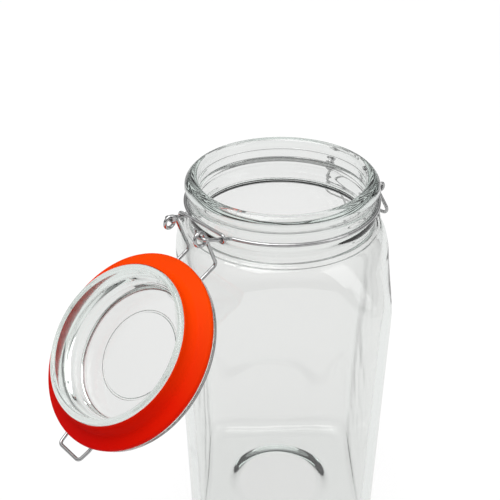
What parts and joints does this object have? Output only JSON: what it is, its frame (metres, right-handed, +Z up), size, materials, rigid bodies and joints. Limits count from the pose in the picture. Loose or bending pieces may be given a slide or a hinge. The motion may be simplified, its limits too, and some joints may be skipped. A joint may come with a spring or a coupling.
{
  "type": "clip-top storage jar",
  "caption": "Empty square glass jar with a round beaded neck, its hinged glass lid and orange rubber seal hanging open, and a wire lever clasp",
  "frame": {"origin": "on the jar's axis, in the plane it stands on", "axes": "+Z is up along the jar's axis; the flat sides of the body face +X, -X, +Y and -Y; the hinge is at 220 degrees about +Z from +X, and the clasp is opposite at 40 degrees"},
  "size_m": [0.171, 0.1577, 0.202],
  "materials": {
    "jar_glass": "clear pressed glass, polished",
    "lid_glass": "clear pressed glass, polished",
    "seal_rubber": "smooth orange-red rubber, satin",
    "steel_wire": "bright drawn wire"
  },
  "bodies": {
    "jar": {"jar_glass": "jar_glass", "neck_wire": "steel_wire", "tie_link": "steel_wire"},
    "lid": {"lid_glass": "lid_glass", "gasket": "seal_rubber", "lid_wire": "steel_wire"},
    "lever": {"lever": "steel_wire"},
    "hook": {"hook": "steel_wire"}
  },
  "joints": [
    {"name": "lid_hinge", "type": "hinge", "parent": "jar", "child": "lid", "pos_m": [-0.04627, -0.03882, 0.1936], "axis": [0.6428, -0.766, 0], "range_deg": [-224.4, 0]},
    {"name": "lever_pivot", "type": "hinge", "parent": "jar", "child": "lever", "pos_m": [0.03892, 0.03265, 0.189], "axis": [0.6428, -0.766, 0], "range_deg": [0, 105]},
    {"name": "hook_pivot", "type": "hinge", "parent": "lever", "child": "hook", "pos_m": [0.04154, 0.03485, 0.18319], "axis": [-0.6428, 0.766, 0], "range_deg": [-85, 0]}
  ]
}
